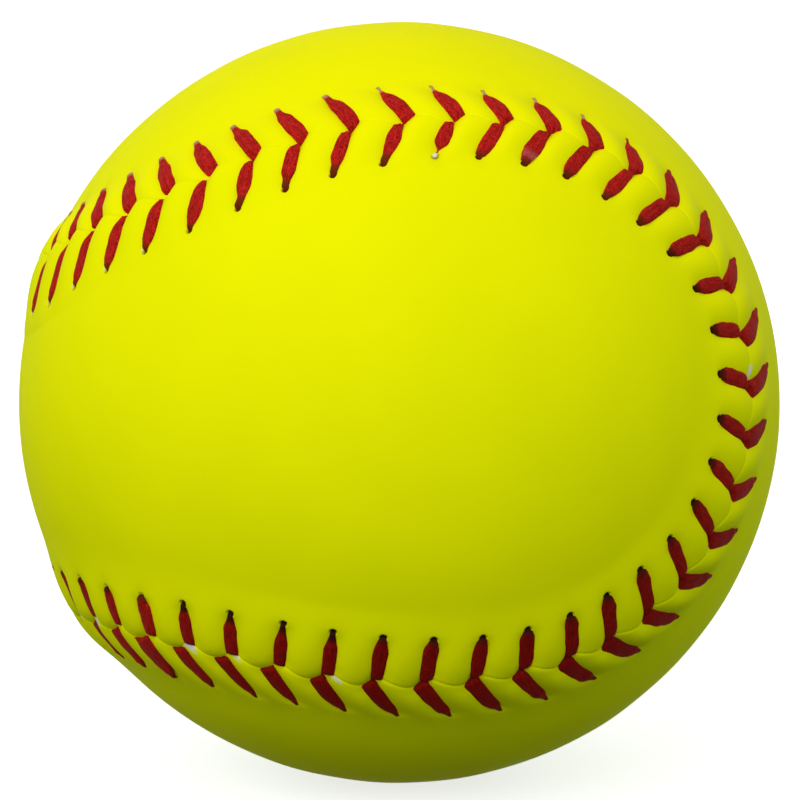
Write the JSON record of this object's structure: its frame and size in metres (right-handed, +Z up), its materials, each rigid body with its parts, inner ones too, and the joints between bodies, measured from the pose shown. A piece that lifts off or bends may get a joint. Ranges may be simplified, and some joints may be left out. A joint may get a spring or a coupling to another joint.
{
  "type": "softball",
  "caption": "Round ball with a foam core under a figure-eight panelled cover, closed by a raised seam with herringbone stitching.",
  "frame": {"origin": "centre of the ball", "axes": "+Z up; a lobe of the front panel faces -Y, and the seam opens round it towards -X"},
  "size_m": [0.097, 0.097, 0.097],
  "materials": {
    "cover": "satin",
    "thread": "satin",
    "core_foam": "matte"
  },
  "bodies": {
    "root": {"core": "core_foam", "front_panel": "cover", "back_panel": "cover", "needle_one_thread": "thread", "needle_two_thread": "thread"}
  },
  "joints": []
}
